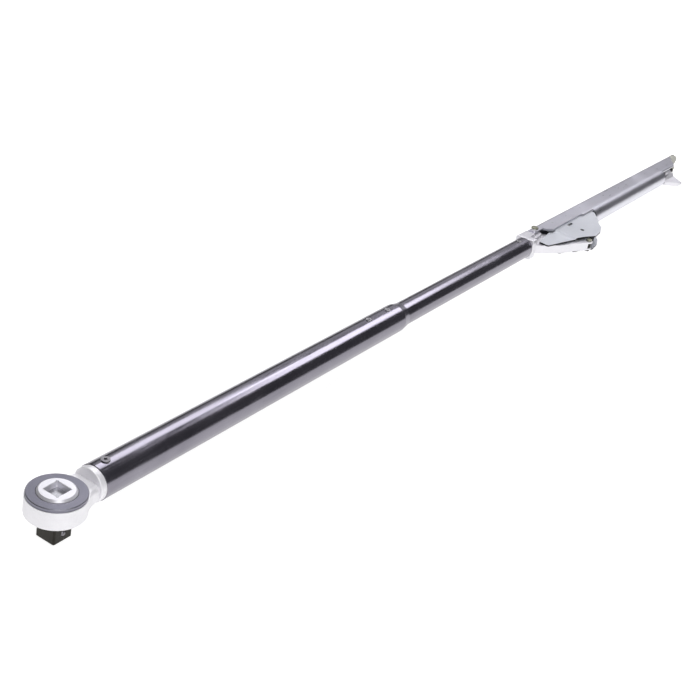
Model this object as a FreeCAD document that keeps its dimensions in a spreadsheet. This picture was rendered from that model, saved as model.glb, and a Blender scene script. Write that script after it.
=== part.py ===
"""Break-back torque wrench, 1 inch drive: ratchet head, two-step tube, side-arm bracket and channel handle.

Row frame: millimetres, origin on the drive axis at the height of the tube's centre line,
+X along the tube towards the handle, +Z up. The male square points down (-Z).
The handle breaks towards -Y about the vertical pivot pin.
"""
import FreeCAD, Part
import math
import os
import Sketcher

DOC = FreeCAD.newDocument("torque_wrench")
SHEET = DOC.addObject("Spreadsheet::Sheet", "Dimensions")
NODES = []

DIMENSIONS = {
    # ratchet head
    "head_radius": 31.9, "head_top": 10.0, "head_bottom": 11.0, "neck_top": 7.0, "neck_half": 17.0,
    "cover_radius": 31.0, "cover_hole": 20.9, "cover_thick": 4.0, "cover_screw_circle": 27.6,
    "cover_screw_radius": 2.0, "wheel_floor": 6.0, "wheel_root": 21.0, "wheel_tip": 23.0,
    "wheel_bore": 23.4, "boss_radius": 20.5, "boss_top": 16.6, "hub_radius": 18.0,
    # interchangeable square
    "square": 25.4, "square_end": 41.0, "recess": 19.15, "spigot": 19.0, "shoulder": 12.3,
    "spigot_top": 9.8, "ball_radius": 3.5, "ball_height": 31.0, "ball_out": 1.3,
    # tubes
    "tube_radius": 20.65, "tube_inner": 17.45, "tube_start": 51.0, "tube_end": 664.0,
    "taper_length": 14.0, "taper_radius": 18.6, "rear_radius": 17.42, "rear_inner": 14.42,
    "rear_start": 545.0, "rear_end": 1078.0,
    # bracket with its side arm
    "bracket_back": 1112.0, "bracket_half": 17.5, "tongue_half": 12.6, "shelf": 8.0, "arm_half": 7.2,
    "pivot_x": 1138.0, "pivot_y": 10.5, "pivot_radius": 4.0, "pivot_eye": 7.0,
    "arm_x": 1203.0, "arm_y": -68.0, "arm_eye": 7.0, "arm_pin_radius": 3.0, "fork_half": 4.5,
    # toggle
    "lever_x": 1225.0, "lever_y": -44.0, "lever_pin_radius": 3.5, "bush_radius": 5.0,
    "lever_hub": 8.0, "finger_half": 4.0, "lever_half": 6.0, "roller_radius": 5.0,
    # handle channel
    "channel_front": 1122.0, "channel_near": 16.5, "channel_far": 17.5, "channel_half": 17.5,
    "wall": 4.0, "nose_centre": -10.0, "nose_start": 1340.5, "nose_end": 1720.0,
    "flange_end": 1787.0, "web_end": 1912.0, "plate_thick": 2.5, "joggle": 2.5,
    "joggle_x": 1174.0, "joggle_run": 3.6,
    # spring train
    "plunger_face": 1240.2, "face_radius": 10.5, "stem_radius": 7.0, "piston_front": 1356.0,
    "piston_radius": 11.4, "piston_thick": 8.0, "guide_front": 1342.0, "guide_thick": 12.0,
    "cage_radius": 13.3, "cage_inner": 11.7, "cage_length": 301.0, "spring_radius": 9.2,
    "spring_wire": 4.2, "nut_front": 1600.0, "nut_thick": 12.0, "screw_radius": 5.0,
    "screw_front": 1566.0, "block_front": 1722.0, "block_length": 61.0, "collar_radius": 8.0,
    "knob_front": 1790.5, "knob_length": 40.0, "knob_radius": 9.0,
    # lock lever at the end of the handle
    "lock_x": 1758.0, "lock_y": -14.0, "lock_z": 5.5, "lock_width": 27.0, "lock_hub": 17.0,
    "lock_front": 1725.0,
    # fits
    "running": 0.05,
}


class Size:
    """A number together with the sheet expression that gives it."""

    def __init__(self, value, text):
        self.value = value
        self.text = text

    def _with(self, other, sign, value):
        return Size(value, "(%s %s %s)" % (self.text, sign, text_of(other)))

    def __add__(self, other):
        return self._with(other, "+", self.value + number(other))

    def __sub__(self, other):
        return self._with(other, "-", self.value - number(other))

    def __mul__(self, other):
        return self._with(other, "*", self.value * number(other))

    def __truediv__(self, other):
        return self._with(other, "/", self.value / number(other))

    def __radd__(self, other):
        return as_size(other) + self

    def __rsub__(self, other):
        return as_size(other) - self

    def __rmul__(self, other):
        return as_size(other) * self

    def __neg__(self):
        return as_size(0) - self


def number(item):
    return item.value if isinstance(item, Size) else float(item)


def text_of(item):
    return item.text if isinstance(item, Size) else repr(float(item))


def as_size(item):
    return item if isinstance(item, Size) else Size(float(item), repr(float(item)))


class Dim:
    """Driving dimensions as attributes, each bound to its cell."""


for row, (alias, value) in enumerate(DIMENSIONS.items(), 1):
    SHEET.set("A%d" % row, alias)
    SHEET.set("B%d" % row, str(value))
    SHEET.setAlias("B%d" % row, alias)
    setattr(Dim, alias, Size(value, "Dimensions." + alias))
DOC.recompute()


# ---------------------------------------------------------------- helpers: objects and placements

def bind(item, path, size):
    """Drive a property from the sheet, when the size comes from there."""
    if isinstance(size, Size):
        item.setExpression(path, size.text)


def place(item, x=0, y=0, z=0, axis=None, angle=0):
    """Put an object in the row frame, turned about one of its own axes."""
    turn = FreeCAD.Rotation(FreeCAD.Vector(*axis), angle) if axis else FreeCAD.Rotation()
    item.Placement = FreeCAD.Placement(FreeCAD.Vector(number(x), number(y), number(z)), turn)
    for name, size in (("x", x), ("y", y), ("z", z)):
        bind(item, "Placement.Base." + name, size)


def new_body(label, x=0, y=0, z=0, axis=None, angle=0):
    body = DOC.addObject("PartDesign::Body", label)
    body.Label = label
    place(body, x, y, z, axis, angle)
    NODES.append(body)
    return body


def node(item, label):
    """Name a Part object as a sub-part of the wrench."""
    item.Label = label
    NODES.append(item)
    return item


# ---------------------------------------------------------------- helpers: sketches

def sketch(body, role, start=0):
    """A sketch on one of the body's own origin planes, lifted by start along the plane's normal."""
    item = body.newObject("Sketcher::SketchObject", body.Name + "_sketch")
    plane = next(f for f in body.Origin.OriginFeatures if f.Role == role)
    item.AttachmentSupport = [(plane, "")]
    item.MapMode = "FlatFace"
    item.AttachmentOffset = FreeCAD.Placement(FreeCAD.Vector(0, 0, number(start)), FreeCAD.Rotation())
    bind(item, "AttachmentOffset.Base.z", start)
    return item


def constrain(item, kind, *where):
    """Add one constraint; the last entry may be a driven size."""
    size = where[-1]
    if isinstance(size, Size):
        index = item.addConstraint(Sketcher.Constraint(kind, *where[:-1], size.value))
        item.setExpression("Constraints[%d]" % index, size.text)
    else:
        item.addConstraint(Sketcher.Constraint(kind, *where))


def pin_point(item, geometry, point, x, y):
    """Fix a sketch point at x, y from the sketch's origin."""
    for kind, axis, size in (("DistanceX", -2, x), ("DistanceY", -1, y)):
        if number(size) == 0:
            item.addConstraint(Sketcher.Constraint("PointOnObject", geometry, point, axis))
        else:
            constrain(item, kind, -1, 1, geometry, point, as_size(size))


def vector(point):
    return FreeCAD.Vector(number(point[0]), number(point[1]), 0)


def polygon(item, points):
    first = item.GeometryCount
    count = len(points)
    for k in range(count):
        item.addGeometry(Part.LineSegment(vector(points[k]), vector(points[(k + 1) % count])), False)
    for k in range(count):
        item.addConstraint(Sketcher.Constraint("Coincident", first + k, 2, first + (k + 1) % count, 1))
    for k in range(count):
        pin_point(item, first + k, 1, *points[k])
    return item


def rectangle(item, x_low, y_low, x_high, y_high):
    return polygon(item, [(x_low, y_low), (x_high, y_low), (x_high, y_high), (x_low, y_high)])


def circle(item, x, y, radius):
    index = item.addGeometry(Part.Circle(vector((x, y)), FreeCAD.Vector(0, 0, 1), number(radius)), False)
    constrain(item, "Radius", index, as_size(radius))
    pin_point(item, index, 3, x, y)
    return item


def ring(item, outer, inner):
    circle(item, 0, 0, outer)
    return circle(item, 0, 0, inner)


def capsule(item, one, two):
    """Two round ends, each (x, y, radius), joined by their outer tangents."""
    centres = [vector(one), vector(two)]
    radii = [number(one[2]), number(two[2])]
    along = centres[1] - centres[0]
    heading = math.atan2(along.y, along.x)
    spread = math.acos((radii[0] - radii[1]) / along.Length)
    angles = [heading + spread, heading - spread]
    up = FreeCAD.Vector(0, 0, 1)
    back = item.addGeometry(Part.ArcOfCircle(Part.Circle(centres[0], up, radii[0]),
                                             angles[0], angles[1] + 2 * math.pi), False)
    front = item.addGeometry(Part.ArcOfCircle(Part.Circle(centres[1], up, radii[1]),
                                              angles[1], angles[0]), False)
    ends = [[centre + FreeCAD.Vector(math.cos(a), math.sin(a), 0) * radius
             for centre, radius in zip(centres, radii)] for a in angles]
    left = item.addGeometry(Part.LineSegment(ends[0][0], ends[0][1]), False)
    right = item.addGeometry(Part.LineSegment(ends[1][0], ends[1][1]), False)
    for touching in ((back, 1, left, 1), (left, 2, front, 2), (front, 1, right, 2), (right, 1, back, 2)):
        item.addConstraint(Sketcher.Constraint("Tangent", *touching))
    for index, end in ((back, one), (front, two)):
        pin_point(item, index, 3, end[0], end[1])
        constrain(item, "Radius", index, as_size(end[2]))
    return item


# ---------------------------------------------------------------- helpers: features

def pad(body, item, length):
    """Add material from the sketch along its plane's normal."""
    feature = body.newObject("PartDesign::Pad", body.Name + "_pad")
    feature.Profile = item
    feature.Length = number(length)
    bind(feature, "Length", length)
    DOC.recompute()
    if feature.Shape.isNull():
        raise RuntimeError("nothing made by " + feature.Name)
    return feature


def pocket(body, item, length):
    """Cut from the sketch along its plane's normal, and prove that something was cut."""
    before = body.Tip.Shape.Volume
    feature = body.newObject("PartDesign::Pocket", body.Name + "_pocket")
    feature.Profile = item
    feature.Length = number(length)
    feature.Reversed = True
    bind(feature, "Length", length)
    DOC.recompute()
    if before - feature.Shape.Volume < 0.01:
        raise RuntimeError("nothing cut by " + feature.Name)
    return feature


def revolve(body, item):
    """Turn the sketch once round its own horizontal axis."""
    feature = body.newObject("PartDesign::Revolution", body.Name + "_turned")
    feature.Profile = item
    feature.ReferenceAxis = (item, ["H_Axis"])
    feature.Angle = 360
    DOC.recompute()
    return feature


def edge_names(body, test):
    names = []
    for index, edge in enumerate(body.Tip.Shape.Edges, 1):
        box = edge.BoundBox
        if test(edge, box.Center, box):
            names.append("Edge%d" % index)
    return names


def dress(body, kind, size, test):
    """Fillet or chamfer the edges that pass the test."""
    names = edge_names(body, test)
    if not names:
        raise RuntimeError("no edge found on " + body.Name)
    base = body.Tip
    feature = body.newObject("PartDesign::" + kind, body.Name + "_" + kind.lower())
    feature.Base = (base, names)
    prop = "Radius" if kind == "Fillet" else "Size"
    setattr(feature, prop, number(size))
    bind(feature, prop, size)
    DOC.recompute()
    if feature.Shape.isNull() or abs(feature.Shape.Volume - base.Shape.Volume) < 1e-4:
        raise RuntimeError("nothing dressed by " + feature.Name)
    return feature


def repeat(body, feature, count):
    """Repeat a feature round the body's Z axis."""
    pattern = body.newObject("PartDesign::PolarPattern", body.Name + "_pattern")
    pattern.Originals = [feature]
    axis = next(f for f in body.Origin.OriginFeatures if f.Role == "Z_Axis")
    pattern.Axis = (axis, [""])
    pattern.Angle = 360
    pattern.Occurrences = count
    body.Tip = pattern
    DOC.recompute()
    return pattern


def upright(box, height):
    """True for an edge that runs straight up through the given height or more."""
    return box.XLength < 0.01 and box.YLength < 0.01 and box.ZLength > height


def close(one, other, slack=0.6):
    return abs(one - number(other)) < slack


# ---------------------------------------------------------------- helpers: turned pieces

def cylinder(radius, height, x=0, y=0, z=0, axis=None, angle=0):
    item = DOC.addObject("Part::Cylinder", "cylinder")
    item.Radius = number(radius)
    item.Height = number(height)
    bind(item, "Radius", radius)
    bind(item, "Height", height)
    place(item, x, y, z, axis, angle)
    return item


def box(x_size, y_size, z_size, x, y, z):
    item = DOC.addObject("Part::Box", "box")
    for name, size in (("Length", x_size), ("Width", y_size), ("Height", z_size)):
        setattr(item, name, number(size))
        bind(item, name, size)
    place(item, x, y, z)
    return item


def join(items, name="joined"):
    item = DOC.addObject("Part::MultiFuse", name)
    item.Shapes = items
    return item


def cut(base, tools, name="cut"):
    item = DOC.addObject("Part::Cut", name)
    item.Base = base
    item.Tool = tools[0] if len(tools) == 1 else join(tools, name + "_tools")
    return item


def group(items, label):
    """Identical fasteners, kept as separate solids in one node."""
    item = DOC.addObject("Part::Compound", label)
    item.Links = items
    return node(item, label)


def hex_prism(across, height, x, y, z):
    item = DOC.addObject("Part::Prism", "hexagon")
    item.Polygon = 6
    item.Circumradius = across / math.sqrt(3)
    item.Height = height
    place(item, x, y, z)
    return item


def socket_screw(x, y, z, shank_radius, shank_length, head_radius, head_height, socket, down=True):
    """Button or cap head screw with a hexagon socket; its seat is at x, y, z and it points down or up."""
    head = cylinder(head_radius, head_height)
    shank = cylinder(shank_radius, shank_length, z=-number(shank_length))
    depth = 0.6 * number(head_height)
    drive = hex_prism(socket, depth + 1, 0, 0, number(head_height) - depth)
    screw = cut(join([head, shank], "screw_blank"), [drive], "socket_screw")
    if down:
        place(screw, x, y, z)
    else:
        place(screw, x, y, z, (1, 0, 0), 180)
    return screw


def coil(label, mean_radius, wire, length, turns, x, y, z, axis, angle):
    """Compression spring whose outer ends are at 0 and at length along its own Z."""
    helix = DOC.addObject("Part::Helix", label + "_line")
    helix.Pitch = (number(length) - wire) / turns
    helix.Height = number(length) - wire
    helix.Radius = number(mean_radius)
    bind(helix, "Radius", mean_radius)
    place(helix, z=wire / 2)
    section = DOC.addObject("Part::Circle", label + "_section")
    section.Radius = wire / 2
    place(section, number(mean_radius), 0, wire / 2, (1, 0, 0), 90)
    sweep = DOC.addObject("Part::Sweep", label + "_sweep")
    sweep.Sections = [section]
    sweep.Spine = (helix, [])
    sweep.Solid = True
    sweep.Frenet = True
    place(sweep, x, y, z, axis, angle)
    return node(sweep, label)


# ---------------------------------------------------------------- ratchet head

COVER_SCREW_ANGLES = (50, 130, 230, 310)
PAWL_PIVOT = (27.0, 10.3)
PAWL_PIN = 2.4


def cover_screw_places():
    return [(Dim.cover_screw_circle * math.cos(math.radians(a)),
             Dim.cover_screw_circle * math.sin(math.radians(a))) for a in COVER_SCREW_ANGLES]


def ratchet_head():
    body = new_body("ratchet_head")
    neck_end = Dim.tube_start - 6
    half = Dim.neck_half
    pad(body, polygon(sketch(body, "XY_Plane", -(Dim.head_bottom - 1.5)),
                      [(4, -28.5), (24, -22.0), (33, -(half + 1)), (neck_end, -half), (neck_end, half),
                       (33, half + 1), (24, 22.0), (4, 28.5)]), Dim.neck_top + Dim.head_bottom - 1.5)
    dress(body, "Fillet", 12, lambda e, c, b: upright(b, 10) and 20 < c.x < 40)
    dress(body, "Fillet", 7, lambda e, c, b: close(c.z, Dim.neck_top, 0.01) and b.ZLength < 0.01
          and c.y < -15)
    pad(body, circle(sketch(body, "XY_Plane", -Dim.head_bottom), 0, 0, Dim.head_radius),
        Dim.head_top + Dim.head_bottom)
    pad(body, circle(sketch(body, "YZ_Plane", Dim.tube_start - 7.5), 0, 0, 19.8), 7.4)
    dress(body, "Fillet", 1.2, lambda e, c, b: close(b.XMin, Dim.tube_start - 7.5, 0.05)
          and b.XLength < 0.01 and b.ZLength > 30)
    pad(body, circle(sketch(body, "YZ_Plane", Dim.tube_start - 1), 0, 0, Dim.tube_inner - 0.05), 46)
    dress(body, "Fillet", 1.3, lambda e, c, b: close(b.ZMin, -Dim.head_bottom, 0.01)
          and b.ZLength < 0.01 and b.XMin < -20)
    pocket(body, circle(sketch(body, "XY_Plane", -Dim.wheel_floor), 0, 0, Dim.wheel_bore), 20)
    pocket(body, circle(sketch(body, "XY_Plane", -Dim.head_bottom - 1), 0, 0, Dim.hub_radius + 0.1), 10)
    pocket(body, capsule(sketch(body, "XY_Plane", -Dim.wheel_floor + 0.05), (24, 1.5, 7.5),
                         (PAWL_PIVOT[0] - 0.4, PAWL_PIVOT[1] - 0.1, 4.9)), 11)
    pocket(body, circle(sketch(body, "XY_Plane", -Dim.head_bottom + 0.5), *PAWL_PIVOT, PAWL_PIN + 0.02), 16.5)
    for x, y in cover_screw_places():
        pocket(body, circle(sketch(body, "XY_Plane", -Dim.head_bottom - 1), x, y, 3.4), 5)
        pocket(body, circle(sketch(body, "XY_Plane", -Dim.head_bottom + 3), x, y,
                            Dim.cover_screw_radius + 0.05), 20)
    for low in (8, -19):
        pocket(body, circle(sketch(body, "XY_Plane", low), 67, 0, 3.02), 11)


def cover_plate():
    body = new_body("cover_plate", z=Dim.head_top)
    pad(body, ring(sketch(body, "XY_Plane", 0.02), Dim.cover_radius, Dim.cover_hole), Dim.cover_thick - 0.02)
    dress(body, "Chamfer", 0.7, lambda e, c, b: close(b.ZMin, Dim.cover_thick, 0.01)
          and b.ZLength < 0.01 and b.XLength > 55)
    dress(body, "Chamfer", 0.4, lambda e, c, b: close(b.ZMin, Dim.cover_thick, 0.01)
          and b.ZLength < 0.01 and 38 < b.XLength < 45)
    for x, y in cover_screw_places():
        pocket(body, circle(sketch(body, "XY_Plane", 0), x, y, Dim.cover_screw_radius + 0.05), 3)


def cover_screws():
    group([socket_screw(x, y, -Dim.head_bottom + 4, Dim.cover_screw_radius, 19.8, 3.3, 3.8, 3.0, down=False)
           for x, y in cover_screw_places()], "cover_screws")


def ratchet_wheel():
    """Toothed ring with the top boss, the lower hub and the through square."""
    teeth = 24
    body = new_body("ratchet_wheel")
    pad(body, circle(sketch(body, "XY_Plane", -5.8), 0, 0, Dim.wheel_root), 15.6)
    span = math.radians(0.93 * 360 / teeth)
    root = Dim.wheel_root - 1.0
    tooth = pad(body, polygon(sketch(body, "XY_Plane", -5.8),
                              [(root, 0), (Dim.wheel_tip, 0),
                               (Dim.wheel_root * math.cos(span), -(Dim.wheel_root * math.sin(span))),
                               (root * math.cos(span), -(root * math.sin(span)))]), 15.6)
    repeat(body, tooth, teeth)
    pad(body, circle(sketch(body, "XY_Plane", 9.0), 0, 0, Dim.boss_radius), Dim.boss_top - 9.0)
    dress(body, "Chamfer", 2.2, lambda e, c, b: close(b.ZMin, Dim.boss_top, 0.01) and b.ZLength < 0.01)
    pad(body, circle(sketch(body, "XY_Plane", -12.0), 0, 0, Dim.hub_radius), 7)
    half = Dim.recess / 2
    pocket(body, rectangle(sketch(body, "XY_Plane", -14), -half, -half, half, half), 40)
    dress(body, "Chamfer", 0.7, lambda e, c, b: close(b.ZMin, Dim.boss_top, 0.01)
          and b.ZLength < 0.01 and b.XMax < 10 and b.XMin > -10 and b.YMax < 10 and b.YMin > -10)
    for side in (1, -1):
        pocket(body, circle(sketch(body, "XY_Plane", 10), half * side, half * side, 1.5), 12)


def pawl():
    """Strut pawl: its tip stands against a tooth face and its eye turns on the pawl pin."""
    body = new_body("pawl", *PAWL_PIVOT)
    eye_x, eye_y = PAWL_PIVOT
    tip = [(21.5, 1.2), (25.2, 1.2), (25.8, 6.0), (eye_x + 3.0, eye_y - 2.4), (eye_x - 3.9, eye_y + 0.6),
           (23.6, 5.2)]
    pad(body, polygon(sketch(body, "XY_Plane", -5.6), [(x - eye_x, y - eye_y) for x, y in tip]), 10)
    pad(body, circle(sketch(body, "XY_Plane", -5.6), 0, 0, 4.0), 10)
    pocket(body, circle(sketch(body, "XY_Plane", -7), 0, 0, PAWL_PIN + Dim.running), 14)


def head_small_parts():
    node(cylinder(PAWL_PIN, 16.2, *PAWL_PIVOT, -Dim.head_bottom + 0.6), "pawl_pin")
    coil("pawl_spring", Size(1.4, "1.4"), 0.6, 4.9, 5, 26.05, 3.0, -0.6, (0, 1, 0), 90)
    group([socket_screw(67, 0, 19.6, 3.0, 11.4, 5.0, 2.4, 4.0),
           socket_screw(67, 0, -19.6, 3.0, 11.4, 5.0, 2.4, 4.0, down=False)], "head_screws")


# ---------------------------------------------------------------- interchangeable square

def drive_square():
    body = new_body("drive_square", z=-Dim.square_end)
    half = Dim.square / 2
    reach = Dim.square_end - Dim.shoulder
    pad(body, rectangle(sketch(body, "XY_Plane"), -half, -half, half, half), reach)
    dress(body, "Fillet", 2.4, lambda e, c, b: upright(b, 20))
    dress(body, "Chamfer", 1.8, lambda e, c, b: b.ZMax < 0.01)
    half = Dim.spigot / 2
    pad(body, rectangle(sketch(body, "XY_Plane", reach - 0.5), -half, -half, half, half),
        Dim.shoulder + Dim.spigot_top + 0.5)
    dress(body, "Fillet", 1.2, lambda e, c, b: upright(b, 20) and abs(c.x) < 9.6 and abs(c.y) < 9.6)
    pocket(body, circle(sketch(body, "XZ_Plane", 3.2), 0, Dim.square_end - Dim.ball_height,
                        Dim.ball_radius + 0.04), 12)


def drive_ball():
    ball = DOC.addObject("Part::Sphere", "ball")
    ball.Radius = number(Dim.ball_radius)
    bind(ball, "Radius", Dim.ball_radius)
    place(ball, 0, -(Dim.square / 2 + Dim.ball_out - Dim.ball_radius), -Dim.ball_height)
    node(ball, "drive_ball")
    coil("ball_spring", Size(2.4, "2.4"), 0.7, 3.6, 3, 0, -3.3, -Dim.ball_height, (1, 0, 0), 90)


# ---------------------------------------------------------------- tubes

TUBE_SCREWS = (577.0, 626.0)
REAR_SCREW = 1053.0


def front_tube():
    body = new_body("front_tube", x=Dim.tube_start)
    length = Dim.tube_end - Dim.tube_start
    revolve(body, polygon(sketch(body, "XZ_Plane"),
                          [(0, Dim.tube_inner), (0, Dim.tube_radius - 0.6), (0.6, Dim.tube_radius),
                           (length - Dim.taper_length, Dim.tube_radius), (length, Dim.taper_radius),
                           (length, Dim.tube_inner)]))
    for z in (19.6, -22.6):
        pocket(body, circle(sketch(body, "XY_Plane", z), 67 - Dim.tube_start, 0, 5.2), 3)
    pocket(body, circle(sketch(body, "XY_Plane", -24), 67 - Dim.tube_start, 0, 3.05), 48)
    for x in TUBE_SCREWS:
        pocket(body, circle(sketch(body, "XY_Plane", 19.7), x - Dim.tube_start, 0, 4.2), 3)
        pocket(body, circle(sketch(body, "XY_Plane", 10), x - Dim.tube_start, 0, 2.55), 12)


def rear_tube():
    body = new_body("rear_tube", x=Dim.rear_start)
    length = Dim.rear_end - Dim.rear_start
    revolve(body, polygon(sketch(body, "XZ_Plane"),
                          [(0, Dim.rear_inner), (0, Dim.rear_radius), (length - 0.7, Dim.rear_radius),
                           (length, Dim.rear_radius - 0.7), (length, Dim.rear_inner)]))
    for x in TUBE_SCREWS:
        pocket(body, circle(sketch(body, "XY_Plane", 10), x - Dim.rear_start, 0, 2.55), 12)
    pocket(body, circle(sketch(body, "XY_Plane", 16.5), REAR_SCREW - Dim.rear_start, 0, 3.7), 3)
    pocket(body, circle(sketch(body, "XY_Plane", 10), REAR_SCREW - Dim.rear_start, 0, 2.45), 12)


def tube_screws():
    group([socket_screw(x, 0, 19.7, 2.5, 6.6, 4.0, 2.1, 3.0) for x in TUBE_SCREWS], "joint_screws")
    node(socket_screw(REAR_SCREW, 0, 16.5, 2.4, 8.0, 3.5, 2.0, 2.5), "bracket_screw")


# ---------------------------------------------------------------- bracket with its side arm

ARM_RUN = (31.0, -14.5)


def pivot_bracket():
    body = new_body("pivot_bracket")
    pad(body, circle(sketch(body, "YZ_Plane", 1030), 0, 0, Dim.rear_inner - 0.05), 60)
    half = Dim.bracket_half
    start = Dim.rear_end
    pad(body, rectangle(sketch(body, "YZ_Plane", start), -half, -half, half, half), Dim.bracket_back - start)
    dress(body, "Fillet", 5.0, lambda e, c, b: b.YLength < 0.01 and b.ZLength < 0.01 and b.XLength > 20
          and abs(c.y) > 15)
    dress(body, "Fillet", 2.0, lambda e, c, b: close(b.XMax, start, 0.01) and b.XLength < 0.01
          and (abs(c.y) > 16 or abs(c.z) > 16))
    for low in (Dim.shelf, -(Dim.shelf + 12)):
        pocket(body, rectangle(sketch(body, "XY_Plane", low), start + 14, -20, 1116, -2), 12)
    tongue = Dim.tongue_half
    far = Dim.pivot_y + Dim.pivot_eye
    pad(body, polygon(sketch(body, "XY_Plane", -tongue),
                      [(Dim.bracket_back - 4, -6), (Dim.pivot_x, Dim.pivot_y - Dim.pivot_eye),
                       (Dim.pivot_x, far), (Dim.bracket_back - 4, far)]), tongue * 2)
    pad(body, circle(sketch(body, "XY_Plane", -tongue), Dim.pivot_x, Dim.pivot_y, Dim.pivot_eye), tongue * 2)
    reach = [(1096, -11, 8.6), (1140, -40.5, 7.5), (Dim.arm_x - ARM_RUN[0], Dim.arm_y - ARM_RUN[1], 6.8),
             (Dim.arm_x, Dim.arm_y, Dim.arm_eye)]
    for one, two in zip(reach, reach[1:]):
        pad(body, capsule(sketch(body, "XY_Plane", -Dim.arm_half), one, two), Dim.arm_half * 2)
    pad(body, polygon(sketch(body, "XY_Plane", -Dim.arm_half),
                      [(1088, -12), (1092, 2), (1140, 4), (1152, 0), (1157, -6), (1148, -22), (1128, -36),
                       (1100, -19)]), Dim.arm_half * 2)
    pad(body, polygon(sketch(body, "XY_Plane", -tongue),
                      [(1096, 2), (1100, -6.5), (1124, -6.5), (1136, -4.5), (1143, 2), (1138, 10),
                       (1104, 10)]), tongue * 2)
    length = math.hypot(*ARM_RUN)
    ahead = (ARM_RUN[0] / length, ARM_RUN[1] / length)
    corners = [(10, 13), (10, -13), (-6.5, -13), (-6.5, 0.3), (-22, 0.3), (-22, 13)]
    slot = [(Dim.arm_x + (a * ahead[0] - s * ahead[1]), Dim.arm_y + (a * ahead[1] + s * ahead[0]))
            for a, s in corners]
    pocket(body, polygon(sketch(body, "XY_Plane", -Dim.fork_half), slot), Dim.fork_half * 2)
    pocket(body, circle(sketch(body, "XY_Plane", -20), Dim.arm_x, Dim.arm_y, Dim.arm_pin_radius + 0.03), 40)
    pocket(body, circle(sketch(body, "XY_Plane", -20), Dim.pivot_x, Dim.pivot_y,
                        Dim.pivot_radius + Dim.running), 40)
    pocket(body, circle(sketch(body, "XY_Plane", 8), REAR_SCREW, 0, 2.42), 12)


def arm_parts():
    x, y = Dim.arm_x, Dim.arm_y
    radius = Dim.arm_pin_radius
    head = cylinder(4.8, 2.3, x, y, Dim.shelf)
    node(join([cylinder(radius, 18.6, x, y, -10.6), head], "arm_pin"), "arm_pin")
    nut = hex_prism(9.0, 2.5, x, y, -10.55)
    node(cut(nut, [cylinder(radius + 0.02, 6, x, y, -13)], "arm_nut"), "arm_nut")
    node(cut(cylinder(Dim.roller_radius, 8.4, x, y, -4.2),
             [cylinder(radius + Dim.running, 12, x, y, -6)], "arm_roller"), "arm_roller")


# ---------------------------------------------------------------- handle channel and its plates

RIVETS = ((1195.0, 3.0), (1255.0, 3.0), (1320.0, 3.0))
SPACERS = ((1252.0, -38.0), (1250.0, -57.0))
KNOB_PIN = Dim.knob_front + 14
BLOCK_SCREWS = (1740.0, 1768.0)
WINDOW = (1565.0, 1640.0)


def handle_channel():
    body = new_body("handle_channel", x=Dim.channel_front)
    near, far, half, wall = Dim.channel_near, Dim.channel_far, Dim.channel_half, Dim.wall
    front = Dim.channel_front
    inner = half - wall
    pad(body, polygon(sketch(body, "YZ_Plane"),
                      [(far, -half), (far, half), (-near, half), (-near, inner), (far - wall, inner),
                       (far - wall, -inner), (-near, -inner), (-near, -half)]), Dim.web_end - front)
    dress(body, "Fillet", 7.0, lambda e, c, b: b.XLength > 600 and close(c.y, far) and close(abs(c.z), half))
    dress(body, "Fillet", 3.0, lambda e, c, b: b.XLength > 600 and close(c.y, far - wall)
          and close(abs(c.z), inner))
    dress(body, "Fillet", 3.2, lambda e, c, b: b.XLength > 600 and close(c.y, -near)
          and close(abs(c.z), half))
    nose_start = Dim.nose_start - front
    nose_length = Dim.nose_end - Dim.nose_start
    pocket(body, rectangle(sketch(body, "XY_Plane", -30), nose_start, -20, Dim.nose_end - front,
                           Dim.nose_centre), 60)
    pad(body, circle(sketch(body, "YZ_Plane", nose_start), Dim.nose_centre, 0, half), nose_length)
    pocket(body, circle(sketch(body, "YZ_Plane", nose_start), Dim.nose_centre, 0, inner), nose_length)
    pocket(body, rectangle(sketch(body, "YZ_Plane", nose_start), Dim.nose_centre, -inner, 10, inner),
           nose_length)
    flange_end = Dim.flange_end - front
    web_end = Dim.web_end - front
    pocket(body, polygon(sketch(body, "XY_Plane", -30),
                         [(-1, -20), (180, -20), (168, -12), (44, -12), (30, 1), (-1, 1)]), 60)
    pocket(body, polygon(sketch(body, "XY_Plane", -30),
                         [(flange_end, -20), (web_end + 1, -20), (web_end + 1, far - wall - 0.4),
                          (flange_end + 60, far - wall - 0.4)]), 60)
    pocket(body, rectangle(sketch(body, "XY_Plane", -inner), -1, 0, 30, far + 1), inner * 2)
    dress(body, "Fillet", 6.5, lambda e, c, b: upright(b, 2) and close(c.x, 0) and (c.y > 12 or c.y < 2))
    pocket(body, polygon(sketch(body, "XZ_Plane", -30),
                         [(web_end - 62, half + 1), (web_end - 62, half), (web_end - 30, 13.5),
                          (web_end - 9, 6),
                          (web_end - 2, 1), (web_end, -4), (web_end - 2, -8), (web_end - 8, -11),
                          (flange_end + 12, -11.5), (flange_end, -half), (flange_end, -half - 1),
                          (web_end + 1, -half - 1), (web_end + 1, half + 1)]), 25)
    eye = (Dim.pivot_x - front, Dim.pivot_y)
    pocket(body, circle(sketch(body, "XY_Plane", -30), *eye, Dim.pivot_radius + 0.02), 60)
    for x, y in RIVETS:
        pocket(body, circle(sketch(body, "XY_Plane", -30), x - front, y, 2.5), 60)
    pocket(body, rectangle(sketch(body, "XZ_Plane", -30), WINDOW[0] - front, -3, WINDOW[1] - front, 3), 25)
    for x in BLOCK_SCREWS:
        pocket(body, circle(sketch(body, "XZ_Plane", -30), x - front, 0, 2.6), 25)
        pocket(body, circle(sketch(body, "XZ_Plane", -30), x - front, 0, 4.7), 14.4)


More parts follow.
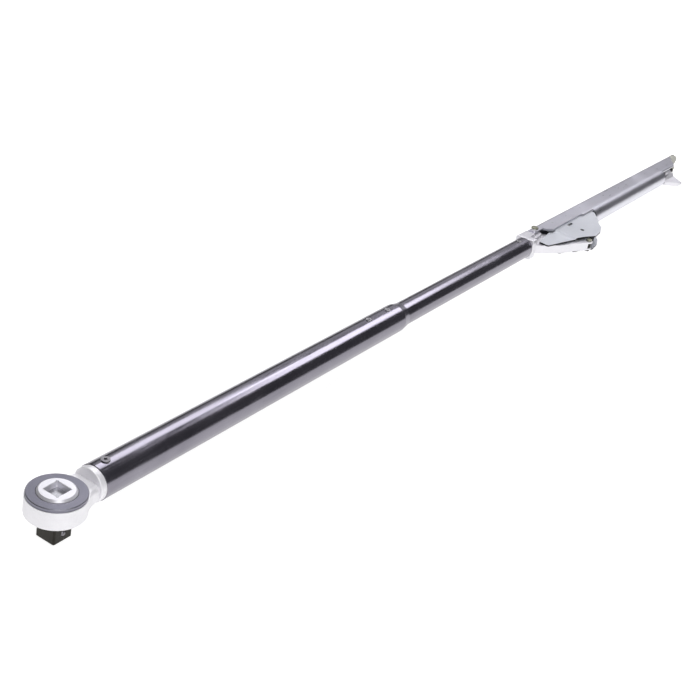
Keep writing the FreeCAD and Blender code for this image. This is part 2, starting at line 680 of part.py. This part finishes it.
def side_plate(label, flip):
    """Joggled plate, drawn as the upper one; the lower one is turned over and stops short of the arm."""
    body = new_body(label)
    sign = -1 if flip else 1
    low = Dim.channel_half - Dim.wall - Dim.plate_thick - Dim.joggle
    thick = Dim.plate_thick
    step = Dim.joggle
    bend = Dim.joggle_x
    after = bend + Dim.joggle_run
    profile = [(1090, low), (bend, low), (after, low + step), (1345, low + step),
               (1345, low + step + thick - 0.02), (after, low + step + thick - 0.02),
               (bend, low + thick), (1090, low + thick)]
    pad(body, polygon(sketch(body, "XZ_Plane", -12), [(x, z * sign) for x, z in profile]), 95)
    tip = [(1140, -14), (1140, -43)] if flip else [(1125, -13), (1103, -17), (1101, -34)]
    outline = tip + [(1164, -50), (1197, -60), (1222, -72), (1250, -69), (1273, -61),
               (1289, -49), (1306, -41), (1334, -22), (1338, -8), (1338, 10), (1168, 10), (1160, -9)]
    waste = sketch(body, "XY_Plane", -20)
    rectangle(waste, 1080, -90, 1360, 20)
    polygon(waste, outline)
    pocket(body, waste, 40)
    dress(body, "Fillet", 9.0, lambda e, c, b: upright(b, 2) and (close(c.x, 1222) or close(c.x, 1273)
                                                                   or close(c.x, 1250)))
    dress(body, "Fillet", 8.0, lambda e, c, b: upright(b, 2) and (close(c.x, 1289) or close(c.x, 1306)))
    corner = -43 if flip else -34
    dress(body, "Fillet", 4.0, lambda e, c, b: upright(b, 2) and close(c.y, corner, 2))
    pocket(body, capsule(sketch(body, "XY_Plane", -20), (1222, -18.2, 2.4), (1236, -18.2, 2.4)), 40)
    for x, y in RIVETS:
        pocket(body, circle(sketch(body, "XY_Plane", -20), x, y, 2.5), 40)
    for x, y in SPACERS:
        pocket(body, circle(sketch(body, "XY_Plane", -20), x, y, 2.2), 40)
    pocket(body, circle(sketch(body, "XY_Plane", -20), Dim.lever_x, Dim.lever_y,
                        Dim.lever_pin_radius + 0.02), 40)


def plate_fasteners():
    rivets = []
    inner = Dim.channel_half - Dim.wall - Dim.plate_thick
    for x, y in RIVETS:
        for low in (inner, -Dim.channel_half):
            rivets.append(cylinder(2.46, Dim.wall + Dim.plate_thick, x, y, low))
    group(rivets, "plate_rivets")
    spacers = []
    for x, y in SPACERS:
        spacers.append(join([cylinder(4.0, inner * 2 - 0.1, x, y, -inner + 0.05),
                             cylinder(2.16, (inner + Dim.plate_thick) * 2, x, y, -inner - Dim.plate_thick)],
                            "spacer"))
    group(spacers, "plate_spacers")


def pivot_parts():
    x, y, radius = Dim.pivot_x, Dim.pivot_y, Dim.pivot_radius
    half = Dim.channel_half
    body = new_body("pivot_pin", x, y)
    pad(body, circle(sketch(body, "XY_Plane", -half - 3.0), 0, 0, radius), half * 2 + 3.0)
    pad(body, circle(sketch(body, "XY_Plane", half), 0, 0, 6.3), 2.4)
    dress(body, "Fillet", 1.6, lambda e, c, b: close(b.ZMin, half + 2.4, 0.01) and b.ZLength < 0.01)
    groove = sketch(body, "XY_Plane", -half - 1.6)
    ring(groove, radius + 1, radius - 0.6)
    pocket(body, groove, 1.3)
    node(cut(cylinder(6.2, 1.2, x, y, -half - 1.55), [cylinder(radius - 0.55, 4, x, y, -half - 3)],
             "pivot_circlip"), "pivot_circlip")
    gap = half - Dim.wall - Dim.tongue_half
    washers = [cut(cylinder(6.8, gap - 0.1, x, y, low), [cylinder(radius + 0.05, 4, x, y, low - 1)], "washer")
               for low in (Dim.tongue_half + 0.05, -Dim.tongue_half - gap + 0.05)]
    group(washers, "pivot_washers")


# ---------------------------------------------------------------- toggle lever

FINGER_LENGTH = 25.0
FINGER_ANGLE = 213.5
NOSE = (10.4, 48.9, 4.5)


def toggle_lever():
    body = new_body("toggle_lever", Dim.lever_x, Dim.lever_y)
    finger = math.radians(FINGER_ANGLE)
    tip = (FINGER_LENGTH * math.cos(finger), FINGER_LENGTH * math.sin(finger), 4.4)
    pad(body, capsule(sketch(body, "XY_Plane", -Dim.finger_half), (0, 0, 4.9), tip), Dim.finger_half * 2)
    pad(body, capsule(sketch(body, "XY_Plane", -Dim.lever_half), (0, 0, 6.2), NOSE), Dim.lever_half * 2)
    pad(body, circle(sketch(body, "XY_Plane", -Dim.lever_half), 0, 0, Dim.lever_hub), Dim.lever_half * 2)
    pocket(body, circle(sketch(body, "XY_Plane", -20), 0, 0, Dim.bush_radius + 0.02), 40)


def lever_parts():
    x, y, half = Dim.lever_x, Dim.lever_y, Dim.lever_half
    node(cut(cylinder(Dim.bush_radius, half * 2, x, y, -half),
             [cylinder(Dim.lever_pin_radius + Dim.running, 30, x, y, -15)], "lever_bush"), "lever_bush")
    node(cylinder(Dim.lever_pin_radius, 27.8, x, y, -13.9), "lever_pin")


# ---------------------------------------------------------------- spring train inside the handle

def turned(label, x, profile, bore=None):
    """A piece turned about the handle's axis; profile lists (distance along X, radius) from axis to axis."""
    body = new_body(label, x=x)
    start, end = profile[0][0], profile[-1][0]
    if bore is None:
        points = [(start, 0)] + profile + [(end, 0)]
    else:
        points = [(start, bore)] + profile + [(end, bore)]
    revolve(body, polygon(sketch(body, "XZ_Plane"), points))
    return body


def plunger():
    stem_end = Dim.piston_front - Dim.plunger_face
    turned("plunger", Dim.plunger_face,
           [(0, Dim.face_radius - 1), (1, Dim.face_radius), (9, Dim.face_radius), (9, Dim.stem_radius),
            (stem_end, Dim.stem_radius), (stem_end, Dim.piston_radius),
            (stem_end + Dim.piston_thick, Dim.piston_radius)])


def plunger_guide():
    body = new_body("plunger_guide", x=Dim.guide_front)
    inner = Dim.channel_half - Dim.wall - 0.1
    far = Dim.channel_far - Dim.wall - 0.1
    pad(body, rectangle(sketch(body, "YZ_Plane"), -12.4, -inner, far, inner), Dim.guide_thick)
    dress(body, "Chamfer", 3.2, lambda e, c, b: b.XLength > 5 and c.y > 10)
    dress(body, "Fillet", 3.0, lambda e, c, b: b.XLength > 5 and c.y < -10)
    pocket(body, circle(sketch(body, "YZ_Plane", -5), 0, 0, Dim.stem_radius + Dim.running), 30)


def spring_cage():
    start = Dim.guide_front + Dim.guide_thick
    body = turned("spring_cage", start, [(0, Dim.cage_radius), (Dim.cage_length, Dim.cage_radius)],
                  Dim.cage_inner)
    pocket(body, rectangle(sketch(body, "XZ_Plane", -20), WINDOW[0] - 6 - start, -2.8,
                           WINDOW[1] - 4 - start, 2.8), 12)


def load_nut():
    turned("load_nut", Dim.nut_front, [(0, Dim.piston_radius), (Dim.nut_thick, Dim.piston_radius)],
           Dim.screw_radius + Dim.running)
    pointer = box(4.0, 7.6, 4.4, Dim.nut_front + 4, Dim.piston_radius + 0.01, -2.2)
    tip = box(1.2, 1.2, 9.0, Dim.nut_front + 5.4, Dim.channel_far + 0.9, -2.2)
    node(join([pointer, tip], "cursor"), "cursor")


def adjusting_screw():
    collar = Dim.block_front - Dim.screw_front - 8
    end = Dim.knob_front + Dim.knob_length - Dim.screw_front - 6
    radius = Dim.screw_radius
    body = turned("adjusting_screw", Dim.screw_front,
           [(0, radius - 1), (1, radius), (collar, radius), (collar, Dim.collar_radius),
            (collar + 5.9, Dim.collar_radius), (collar + 5.9, radius), (end, radius)])
    pocket(body, circle(sketch(body, "XY_Plane", -20), KNOB_PIN - Dim.screw_front, 0, 1.53), 40)


def end_block():
    body = new_body("end_block", x=Dim.block_front)
    far = Dim.channel_far - Dim.wall - 0.1
    pad(body, rectangle(sketch(body, "YZ_Plane"), -8.5, -8.6, far, 13.4), Dim.block_length)
    dress(body, "Chamfer", 3.2, lambda e, c, b: b.XLength > 5 and c.y > 10 and c.z > 10)
    dress(body, "Fillet", 3.0, lambda e, c, b: b.XLength > 5 and c.y < -5)
    ear = Dim.lock_x - 12.6 - Dim.block_front
    pad(body, rectangle(sketch(body, "YZ_Plane", ear), Dim.lock_y - 4.2, Dim.lock_z - 5.5, -5,
                        Dim.lock_z + 5.5), 12)
    dress(body, "Fillet", 4.0, lambda e, c, b: 10 < b.XLength < 13 and close(c.y, Dim.lock_y - 4.2, 0.1))
    pocket(body, circle(sketch(body, "YZ_Plane", ear - 1), Dim.lock_y, Dim.lock_z, 2.52), 14)
    pocket(body, circle(sketch(body, "YZ_Plane", -5), 0, 0, Dim.screw_radius + Dim.running), 90)
    for x in BLOCK_SCREWS:
        pocket(body, circle(sketch(body, "XZ_Plane", -20), x - Dim.block_front, 0, 2.42), 13.6)


def adjuster_knob():
    body = new_body("adjuster_knob", x=Dim.knob_front)
    length, radius = Dim.knob_length, Dim.knob_radius
    revolve(body, polygon(sketch(body, "XZ_Plane"),
                          [(0, 0), (0, radius - 2), (3, radius - 2), (3, radius), (length - 1.5, radius),
                           (length, radius - 1.5), (length, 0)]))
    pocket(body, circle(sketch(body, "YZ_Plane", -1), 0, 0, Dim.screw_radius + 0.02), length - 4.9)
    pocket(body, polygon(sketch(body, "YZ_Plane", length - 4.5),
                         [(5.2 * math.cos(math.radians(60 * k)), 5.2 * math.sin(math.radians(60 * k)))
                          for k in range(6)]), 6)
    pocket(body, circle(sketch(body, "XY_Plane", -20), KNOB_PIN - Dim.knob_front, 0, 1.53), 40)


def end_parts():
    radius = Dim.screw_radius
    node(cut(cylinder(Dim.collar_radius, 1.9, Dim.block_front - 1.95, 0, 0, (0, 1, 0), 90),
             [cylinder(radius + 0.1, 6, Dim.block_front - 4, 0, 0, (0, 1, 0), 90)], "thrust_washer"),
         "thrust_washer")
    screws = []
    for x in BLOCK_SCREWS:
        screw = socket_screw(0, 0, 0, 2.38, 7.5, 4.5, 1.9, 2.5)
        place(screw, x, Dim.channel_far - 1.9, 0, (1, 0, 0), -90)
        screws.append(screw)
    group(screws, "block_screws")
    pin_length = Dim.knob_radius * 2 - 0.4
    node(cylinder(1.5, pin_length, KNOB_PIN, 0, -(pin_length / 2)), "knob_pin")


def scale_plate():
    """Thin scale beside the window, with a row of fine division marks."""
    body = new_body("scale_plate", x=WINDOW[0], y=Dim.channel_far)
    pad(body, rectangle(sketch(body, "XZ_Plane", -0.8), -2, 4.2, 77, 10.2), 0.78)
    first, pitch = 18.0, 4.0
    for k in range(11):
        tall = 3.4 if k % 5 == 0 else 2.2
        x = first + pitch * k
        pocket(body, rectangle(sketch(body, "XZ_Plane", -0.9), x, 4.1, x + 0.5, 4.2 + tall), 0.35)


def lock_lever():
    """Fin hung on a pin beside the end block; it stands out past the channel's open side."""
    body = new_body("lock_lever", Dim.lock_front)
    hub = (Dim.lock_y, Dim.lock_z, 5.0)
    path = [hub, (-22.5, -6.0, 3.2), (-43.0, -13.0, 3.4)]
    front = Dim.lock_x - Dim.lock_front
    end = front + Dim.lock_width
    for one, two in zip(path, path[1:]):
        pad(body, capsule(sketch(body, "YZ_Plane"), one, two), end)
    pocket(body, polygon(sketch(body, "XY_Plane", -30), [(-1, 5), (front, 5), (front, -20.5), (-1, -24)]), 60)
    pocket(body, polygon(sketch(body, "XY_Plane", -30),
                         [(-1, -27), (end - 9, -46), (end - 9, -60), (-1, -60)]), 60)
    hub_end = front + Dim.lock_hub
    pocket(body, polygon(sketch(body, "XY_Plane", -30),
                         [(hub_end, 5), (hub_end, -20.5), (end + 1, -20.5), (end + 1, 5)]), 60)
    pocket(body, circle(sketch(body, "YZ_Plane", -5), Dim.lock_y, Dim.lock_z, 2.5 + Dim.running), 90)
    across = (0, 1, 0)
    head = cylinder(5.0, 14.0, Dim.lock_x + Dim.lock_hub + 0.4, Dim.lock_y, Dim.lock_z, across, 90)
    shank = cylinder(2.5, Dim.lock_hub + 12.5, Dim.lock_x - 12, Dim.lock_y, Dim.lock_z, across, 90)
    node(join([shank, head], "lock_pin"), "lock_pin")


# ---------------------------------------------------------------- build and write

def build():
    ratchet_head()
    cover_plate()
    cover_screws()
    ratchet_wheel()
    pawl()
    head_small_parts()
    drive_square()
    drive_ball()
    front_tube()
    rear_tube()
    tube_screws()
    pivot_bracket()
    arm_parts()
    handle_channel()
    side_plate("upper_side_plate", flip=False)
    side_plate("lower_side_plate", flip=True)
    plate_fasteners()
    pivot_parts()
    toggle_lever()
    lever_parts()
    plunger()
    plunger_guide()
    spring_cage()
    front = Dim.piston_front + Dim.piston_thick + 0.1
    coil("main_spring", Dim.spring_radius, number(Dim.spring_wire), Dim.nut_front - front - 0.1, 24,
         front, 0, 0, (0, 1, 0), 90)
    load_nut()
    adjusting_screw()
    end_block()
    adjuster_knob()
    end_parts()
    scale_plate()
    lock_lever()
    DOC.recompute()


def check():
    """Stop on any failed object or sub-part."""
    bad = [item.Name for item in DOC.Objects if "Invalid" in item.State or "Error" in item.State]
    for item in NODES:
        shape = item.Shape
        if shape.isNull() or not shape.isValid() or not shape.Solids:
            bad.append(item.Label)
    if bad:
        raise RuntimeError("failed: " + ", ".join(bad))


def write():
    os.makedirs("parts", exist_ok=True)
    for item in NODES:
        item.Shape.exportStep("parts/%s.step" % item.Label)
        bounds = item.Shape.BoundBox
        print("%-18s solids %d  x %8.2f %8.2f  y %7.2f %7.2f  z %7.2f %7.2f" % (
            item.Label, len(item.Shape.Solids), bounds.XMin, bounds.XMax,
            bounds.YMin, bounds.YMax, bounds.ZMin, bounds.ZMax))


build()
check()
write()
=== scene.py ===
import bpy
from mathutils import Matrix, Vector


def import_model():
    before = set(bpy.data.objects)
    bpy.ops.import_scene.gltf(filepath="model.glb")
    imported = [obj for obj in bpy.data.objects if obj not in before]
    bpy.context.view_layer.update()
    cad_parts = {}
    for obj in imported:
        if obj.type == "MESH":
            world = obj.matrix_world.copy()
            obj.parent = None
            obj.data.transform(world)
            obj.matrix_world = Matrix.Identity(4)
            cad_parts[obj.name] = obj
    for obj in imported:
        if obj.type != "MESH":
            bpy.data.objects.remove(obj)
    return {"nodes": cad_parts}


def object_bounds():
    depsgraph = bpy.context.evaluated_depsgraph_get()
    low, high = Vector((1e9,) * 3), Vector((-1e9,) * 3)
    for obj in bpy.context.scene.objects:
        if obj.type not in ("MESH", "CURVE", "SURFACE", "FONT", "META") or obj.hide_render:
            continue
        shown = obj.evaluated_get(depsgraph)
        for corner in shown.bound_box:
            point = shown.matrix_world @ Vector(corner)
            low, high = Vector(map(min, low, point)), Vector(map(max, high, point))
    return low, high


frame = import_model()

CAD_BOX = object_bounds()
NODES = frame["nodes"]

# Camera: it stands beyond the head, looks along the wrench and down on it, and is rolled a little.
CAMERA_EYE = (-0.7345, -0.6743, 0.7245)
CAMERA_RIGHT = (0.539049, -0.82282, 0.17998)
CAMERA_UP = (0.299858, 0.387157, 0.871891)
CAMERA_LENS = 62.07
CAMERA_SENSOR = 36.0
CAMERA_NEAR = 0.05

# Metal: cloudy patches and a directed grain share the colour and the sheen; grain and pits the bump.
CLOUD_RANGE = (0.32, 0.7)
STREAK_SCALE = 620.0
STREAK_RANGE = (0.3, 0.75)
CLOUD_IN_TONE, STREAK_IN_TONE = 0.65, 0.35
CLOUD_IN_SHEEN, STREAK_IN_SHEEN = 0.08, 0.10
MEAN_SHEEN = 0.09
PIT_SCALE = 1500.0
STREAK_IN_BUMP, PIT_IN_BUMP = 0.6, 0.4
PIT_DEPTH = 0.00003
SHALLOW_PIT_DEPTH = 0.00001

# Wear: it follows the edges, broken up by a noise so that it is uneven.
WEAR_WIDTH = 0.0011
WEAR_SCALE = 260.0
WEAR_RANGE = (0.36, 0.62, 0.25, 1.0)
EDGE_RANGE = (0.995, 0.86)

# Local tones: where a face counts as upright and takes painted shade, and how far a change of finish
# takes along an axis.
UPRIGHT_RANGE = (0.45, 0.2)
BARE_FADE = 0.001
BARE_DARK, BARE_LIGHT = (0.40, 0.40, 0.43), (0.60, 0.60, 0.63)
TAIL_FADE = 0.012

# Grain directions, as scales of the object's axes: the small one is the way the grain runs.
EVEN = (1, 1, 1)
ALONG = (0.04, 1.0, 1.0)
UP = (1.0, 1.0, 0.05)

FLOOR_HALF = 60.0
FLOOR_GAP = 0.0002
FLOOR_GLOW = 0.86
WORLD_STRENGTH = 0.13


# ---------------------------------------------------------------- material building

class Nodes:
    """Small helper round one material's node tree."""

    def __init__(self, name):
        self.material = bpy.data.materials.new(name)
        self.material.use_nodes = True
        self.tree = self.material.node_tree
        self.shader = self.tree.nodes["Principled BSDF"]
        self.place = self.add("ShaderNodeTexCoord").outputs["Object"]

    def add(self, kind, **values):
        node = self.tree.nodes.new(kind)
        for key, value in values.items():
            setattr(node, key, value)
        return node

    def link(self, out, socket):
        self.tree.links.new(out, socket)

    def stretched(self, scale):
        """Object coordinates scaled along each axis, so that a grain can run one way."""
        node = self.add("ShaderNodeMapping")
        node.inputs["Scale"].default_value = scale
        self.link(self.place, node.inputs["Vector"])
        return node.outputs["Vector"]

    def noise(self, scale, detail, rough=0.55, stretch=None):
        node = self.add("ShaderNodeTexNoise")
        node.inputs["Scale"].default_value = scale
        node.inputs["Detail"].default_value = detail
        node.inputs["Roughness"].default_value = rough
        self.link(self.stretched(stretch) if stretch else self.place, node.inputs["Vector"])
        return node.outputs["Fac"]

    def ramp(self, value, low, high, to_low=0.0, to_high=1.0):
        node = self.add("ShaderNodeMapRange")
        node.inputs["From Min"].default_value = low
        node.inputs["From Max"].default_value = high
        node.inputs["To Min"].default_value = to_low
        node.inputs["To Max"].default_value = to_high
        self.link(value, node.inputs["Value"])
        return node.outputs["Result"]

    def mix(self, factor, one, two):
        node = self.add("ShaderNodeMix", data_type="RGBA")
        self.link(factor, node.inputs["Factor"])
        for value, socket in ((one, node.inputs["A"]), (two, node.inputs["B"])):
            if isinstance(value, tuple):
                socket.default_value = value + (1.0,)
            else:
                self.link(value, socket)
        return node.outputs["Result"]

    def maths(self, operation, one, two):
        node = self.add("ShaderNodeMath", operation=operation)
        for value, socket in zip((one, two), node.inputs):
            if isinstance(value, (int, float)):
                socket.default_value = value
            else:
                self.link(value, socket)
        return node.outputs["Value"]

    def weighted(self, one, share_of_one, two, share_of_two):
        """Sum of two values, each times its share."""
        return self.maths("ADD", self.maths("MULTIPLY", one, share_of_one),
                          self.maths("MULTIPLY", two, share_of_two))

    def component(self, vector, axis):
        """One component of a vector, named by its letter."""
        node = self.add("ShaderNodeSeparateXYZ")
        self.link(vector, node.inputs["Vector"])
        return node.outputs[axis]

    def edges(self, radius):
        """1 near an edge of the mesh, 0 on its flats."""
        bevel = self.add("ShaderNodeBevel", samples=4)
        bevel.inputs["Radius"].default_value = radius
        flat = self.add("ShaderNodeNewGeometry").outputs["Normal"]
        dot = self.add("ShaderNodeVectorMath", operation="DOT_PRODUCT")
        self.link(bevel.outputs["Normal"], dot.inputs[0])
        self.link(flat, dot.inputs[1])
        return self.ramp(dot.outputs["Value"], *EDGE_RANGE)

    def bump(self, height, distance):
        node = self.add("ShaderNodeBump")
        node.inputs["Distance"].default_value = distance
        self.link(height, node.inputs["Height"])
        self.link(node.outputs["Normal"], self.shader.inputs["Normal"])


def steel(name, light, dark, rough, grain=EVEN, wear=None, metallic=1.0, patch=14.0, pits=PIT_DEPTH,
          painted_edge_shade=None, bare_above=None, tail=None):
    """Metal with cloudy tone, a directed grain, uneven sheen and worn edges.

    painted_edge_shade is a painted shade for faces that stand upright, such as a plate's cut edge,
    where the shadow under a plate falls; bare_above is a height over which the finish has been ground
    away to bare steel; tail is a place along the wrench and the duller tone of the metal beyond it.
    """
    n = Nodes(name)
    clouds = n.ramp(n.noise(patch, 5.0, 0.6), *CLOUD_RANGE)
    streaks = n.ramp(n.noise(STREAK_SCALE, 3.0, 0.6, grain), *STREAK_RANGE)
    colour = n.mix(n.weighted(clouds, CLOUD_IN_TONE, streaks, STREAK_IN_TONE), dark, light)
    if wear:
        uneven = n.ramp(n.noise(WEAR_SCALE, 3.0), *WEAR_RANGE)
        colour = n.mix(n.maths("MULTIPLY", n.edges(WEAR_WIDTH), uneven), colour, wear)
    # Painted shade: faces that stand upright, such as the plates' cut edges, are mixed towards a dark
    # tone that stands in for the shadow under the plates.
    if painted_edge_shade:
        slope = n.component(n.add("ShaderNodeTexCoord").outputs["Normal"], "Z")
        upright = n.ramp(n.maths("ABSOLUTE", slope, 0.0), *UPRIGHT_RANGE)
        colour = n.mix(upright, colour, painted_edge_shade)
    if bare_above is not None:
        bare = n.ramp(n.component(n.place, "Z"), bare_above, bare_above + BARE_FADE)
        colour = n.mix(bare, colour, n.mix(streaks, BARE_DARK, BARE_LIGHT))
    if tail:
        start, dull = tail
        colour = n.mix(n.ramp(n.component(n.place, "X"), start, start + TAIL_FADE), colour, dull)
    n.link(colour, n.shader.inputs["Base Color"])
    n.shader.inputs["Metallic"].default_value = metallic
    sheen = n.weighted(clouds, CLOUD_IN_SHEEN, streaks, STREAK_IN_SHEEN)
    n.link(n.maths("ADD", sheen, rough - MEAN_SHEEN), n.shader.inputs["Roughness"])
    n.bump(n.weighted(streaks, STREAK_IN_BUMP, n.noise(PIT_SCALE, 2.0), PIT_IN_BUMP), pits)
    return n.material


LOOKS = {
    "forged": steel("forged_silver", (0.90, 0.89, 0.92), (0.78, 0.77, 0.80), 0.44,
                    wear=(0.92, 0.92, 0.92), patch=40.0, metallic=0.4),
    "wheel": steel("ground_steel", (0.88, 0.87, 0.91), (0.76, 0.75, 0.80), 0.36,
                   wear=(0.92, 0.92, 0.92), metallic=0.6, pits=SHALLOW_PIT_DEPTH),
    "cover": steel("cover_grey", (0.275, 0.27, 0.32), (0.185, 0.185, 0.225), 0.42,
                   wear=(0.42, 0.42, 0.46)),
    "tube": steel("dark_tube", (0.27, 0.258, 0.298), (0.20, 0.19, 0.225), 0.21,
                  grain=ALONG, wear=(0.42, 0.41, 0.44)),
    "bracket": steel("plated_bracket", (0.88, 0.87, 0.91), (0.75, 0.74, 0.78), 0.34,
                     grain=ALONG, wear=(0.90, 0.90, 0.90), metallic=0.6),
    "channel": steel("channel_silver", (0.72, 0.715, 0.775), (0.60, 0.595, 0.655), 0.34,
                     grain=ALONG, wear=(0.80, 0.80, 0.82), pits=SHALLOW_PIT_DEPTH,
                     tail=(1.836, (0.25, 0.25, 0.215))),
    # The plates' upright cut edges get painted shade: a near-black tone in place of the shadow in the
    # gap under each plate.
    "plate": steel("plated_sheet", (0.63, 0.645, 0.68), (0.53, 0.545, 0.58), 0.50,
                   grain=ALONG, metallic=0.6, painted_edge_shade=(0.012, 0.012, 0.016)),
    "black": steel("oil_black", (0.045, 0.043, 0.038), (0.018, 0.017, 0.015), 0.36,
                   grain=UP, wear=(0.12, 0.115, 0.10)),
    "square": steel("oil_black_square", (0.045, 0.043, 0.038), (0.018, 0.017, 0.015), 0.34,
                    grain=UP, wear=(0.12, 0.115, 0.10), bare_above=-0.004),
    "sunk": steel("sunk_screw", (0.25, 0.24, 0.26), (0.16, 0.155, 0.17), 0.34,
                  wear=(0.50, 0.49, 0.51)),
    "screw": steel("screw_steel", (0.50, 0.49, 0.51), (0.32, 0.31, 0.33), 0.30,
                   wear=(0.75, 0.75, 0.76)),
    "olive": steel("olive_passivated", (0.36, 0.36, 0.27), (0.22, 0.22, 0.17), 0.38,
                   wear=(0.62, 0.61, 0.55)),
    "bright": steel("bright_ball", (0.88, 0.88, 0.88), (0.74, 0.74, 0.75), 0.18),
    "bronze": steel("sintered_bronze", (0.52, 0.36, 0.17), (0.36, 0.24, 0.11), 0.42,
                    wear=(0.7, 0.55, 0.3)),
    "spring": steel("spring_wire", (0.30, 0.30, 0.32), (0.17, 0.17, 0.18), 0.28),
}

FINISH = {
    # head and drive
    "ratchet_head": "forged", "cover_plate": "cover", "cover_screws": "screw", "ratchet_wheel": "wheel",
    "pawl": "black", "pawl_pin": "bright", "pawl_spring": "spring", "drive_square": "square",
    "drive_ball": "sunk", "ball_spring": "spring",
    # tubes and bracket
    "front_tube": "tube", "rear_tube": "tube", "head_screws": "sunk", "joint_screws": "screw",
    "bracket_screw": "screw", "pivot_bracket": "bracket", "arm_pin": "olive", "arm_nut": "black",
    "arm_roller": "black",
    # handle and its plates
    "handle_channel": "channel", "upper_side_plate": "plate", "lower_side_plate": "plate",
    "plate_rivets": "plate", "plate_spacers": "plate", "pivot_pin": "olive", "pivot_washers": "bronze",
    "pivot_circlip": "black", "end_block": "bracket", "block_screws": "screw",
    # mechanism in the handle
    "toggle_lever": "screw", "lever_bush": "bronze", "lever_pin": "black", "plunger": "screw",
    "plunger_guide": "bracket", "spring_cage": "channel", "main_spring": "spring", "load_nut": "screw",
    "cursor": "olive", "scale_plate": "plate", "adjusting_screw": "screw", "thrust_washer": "bronze",
    # rear end
    "adjuster_knob": "olive", "knob_pin": "black", "lock_lever": "bracket", "lock_pin": "black",
}

for node_name, item in NODES.items():
    look = LOOKS[FINISH[node_name]]
    if not item.material_slots:
        item.data.materials.append(look)
    for slot in item.material_slots:
        slot.material = look


# ---------------------------------------------------------------- floor, light and camera

WHITE = (1.0, 1.0, 1.0)
COOL = (0.97, 0.96, 1.0)

# name, place, point aimed at, size, watts, tint
SOFTBOXES = [
    ("near_key", (1.75, 0.8, 1.62), (1.75, 0.8, 0.0), (1.0, 1.2), 13.5, (0.97, 0.965, 1.0)),
    ("tube_key", (2.62, -0.1, 1.6), (2.62, -0.1, 0.0), (1.35, 1.0), 18.0, COOL),
    ("rear_strip", (5.6, -0.05, 1.6), (5.6, -0.05, 0.0), (2.4, 1.0), 3.5, COOL),
    ("head_card", (2.0, 2.3, 1.9), (2.0, 2.2, 0.0), (1.8, 1.5), 6.5, WHITE),
    ("rear_ceiling", (5.3, 1.8, 1.9), (5.3, 1.7, 0.0), (4.4, 4.2), 32.0, COOL),
    ("head_top", (0.12, 0.1, 1.2), (0.12, 0.05, 0.0), (0.5, 0.5), 6.5, WHITE),
    ("front_fill", (-1.4, -2.2, 1.9), (0.4, 0.0, 0.0), (1.6, 1.6), 46.0, WHITE),
]


def floor():
    """Pale matt floor that glows a little, so that it reads as a plain white ground."""
    n = Nodes("pale_floor")
    tone = n.ramp(n.noise(2.2, 3.0), 0.3, 0.7)
    n.link(n.mix(tone, (0.36, 0.36, 0.36), (0.40, 0.40, 0.395)), n.shader.inputs["Base Color"])
    n.shader.inputs["Roughness"].default_value = 0.9
    n.shader.inputs["Specular IOR Level"].default_value = 0.0
    n.shader.inputs["Emission Color"].default_value = (1.0, 1.0, 0.995, 1.0)
    n.shader.inputs["Emission Strength"].default_value = FLOOR_GLOW
    low = CAD_BOX[0][2] - FLOOR_GAP
    corners = [(-1, -1), (1, -1), (1, 1), (-1, 1)]
    mesh = bpy.data.meshes.new("floor")
    mesh.from_pydata([(x * FLOOR_HALF, y * FLOOR_HALF, low) for x, y in corners], [], [(0, 1, 2, 3)])
    mesh.materials.append(n.material)
    item = bpy.data.objects.new("floor", mesh)
    bpy.context.collection.objects.link(item)


def softbox(name, place, target, size, power, tint):
    light = bpy.data.lights.new(name, "AREA")
    light.shape = "RECTANGLE"
    light.size, light.size_y = size
    light.energy = power
    light.color = tint
    item = bpy.data.objects.new(name, light)
    item.location = place
    aim = Vector(target) - Vector(place)
    item.rotation_euler = aim.to_track_quat("-Z", "Y").to_euler()
    bpy.context.collection.objects.link(item)


def world():
    item = bpy.data.worlds.new("studio")
    item.use_nodes = True
    back = item.node_tree.nodes["Background"]
    back.inputs["Color"].default_value = (0.80, 0.80, 0.86, 1.0)
    back.inputs["Strength"].default_value = WORLD_STRENGTH
    bpy.context.scene.world = item


def camera():
    right = Vector(CAMERA_RIGHT)
    up = Vector(CAMERA_UP)
    data = bpy.data.cameras.new("camera")
    data.sensor_width = CAMERA_SENSOR
    data.lens = CAMERA_LENS
    data.clip_start = CAMERA_NEAR
    item = bpy.data.objects.new("camera", data)
    turn = Matrix((right, up, right.cross(up))).transposed().to_4x4()
    item.matrix_world = Matrix.Translation(Vector(CAMERA_EYE)) @ turn
    bpy.context.collection.objects.link(item)
    bpy.context.scene.camera = item


floor()
for box in SOFTBOXES:
    softbox(*box)
world()
camera()
bpy.context.scene.view_settings.view_transform = "Standard"
bpy.context.scene.view_settings.look = "None"
